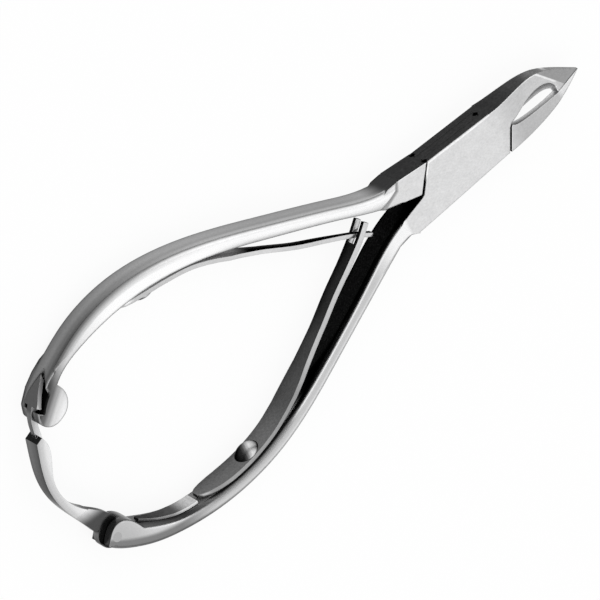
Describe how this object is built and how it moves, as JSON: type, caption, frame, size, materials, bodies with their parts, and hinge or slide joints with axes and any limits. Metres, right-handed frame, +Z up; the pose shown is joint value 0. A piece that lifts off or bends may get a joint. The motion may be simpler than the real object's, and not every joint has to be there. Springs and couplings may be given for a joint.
{
  "type": "cuticle nipper",
  "caption": "Polished steel cuticle nipper with box joint, interlocking leaf springs and a swing latch across the handle ends.",
  "frame": {"origin": "centre of the pivot pin on the tool's underside", "axes": "+X towards the jaw tips, +Y towards the upper handle, +Z up along the pivot axis"},
  "size_m": [0.1232, 0.049, 0.0058],
  "materials": {
    "polished_steel": "mirror-polished stainless steel",
    "spring_steel": "polished spring steel strip",
    "pin_steel": "ground pins, flush with the faces",
    "screw_steel": "domed polished heads"
  },
  "bodies": {
    "lower_lever_body": {"lever_lower": "polished_steel", "pivot_pin": "pin_steel", "spring_lower_seat": "spring_steel", "screw_lower": "screw_steel", "detent_leaf": "spring_steel", "latch_pin": "pin_steel"},
    "upper_lever_body": {"lever_upper": "polished_steel", "spring_upper_seat": "spring_steel", "screw_upper": "screw_steel"},
    "lower_spring_body": {"spring_lower_blade": "spring_steel"},
    "upper_spring_body": {"spring_upper_blade": "spring_steel"},
    "latch_body": {"latch_arm": "polished_steel"}
  },
  "joints": [
    {"name": "handle_pivot", "type": "hinge", "parent": "lower_lever_body", "child": "upper_lever_body", "pos_m": [0, 0, 0.0029], "axis": [0, 0, -1], "range_deg": [0, 15]},
    {"name": "spring_lower_flex", "type": "hinge", "parent": "lower_lever_body", "child": "lower_spring_body", "pos_m": [-0.0485, -0.0154, 0.0029], "axis": [0, 0, 1], "range_deg": [0, 8]},
    {"name": "spring_upper_flex", "type": "hinge", "parent": "upper_lever_body", "child": "upper_spring_body", "pos_m": [-0.0485, 0.0153, 0.0029], "axis": [0, 0, -1], "range_deg": [0, 8]},
    {"name": "latch_hinge", "type": "hinge", "parent": "lower_lever_body", "child": "latch_body", "pos_m": [-0.0907, -0.0152, 0.0029], "axis": [0, 0, 1], "range_deg": [0, 120]}
  ],
  "couplings": [
    {"joint": "spring_lower_flex", "follows": "handle_pivot", "ratio": 0.52},
    {"joint": "spring_upper_flex", "follows": "handle_pivot", "ratio": 0.52},
    {"joint": "latch_hinge", "follows": "handle_pivot", "ratio": 8}
  ]
}
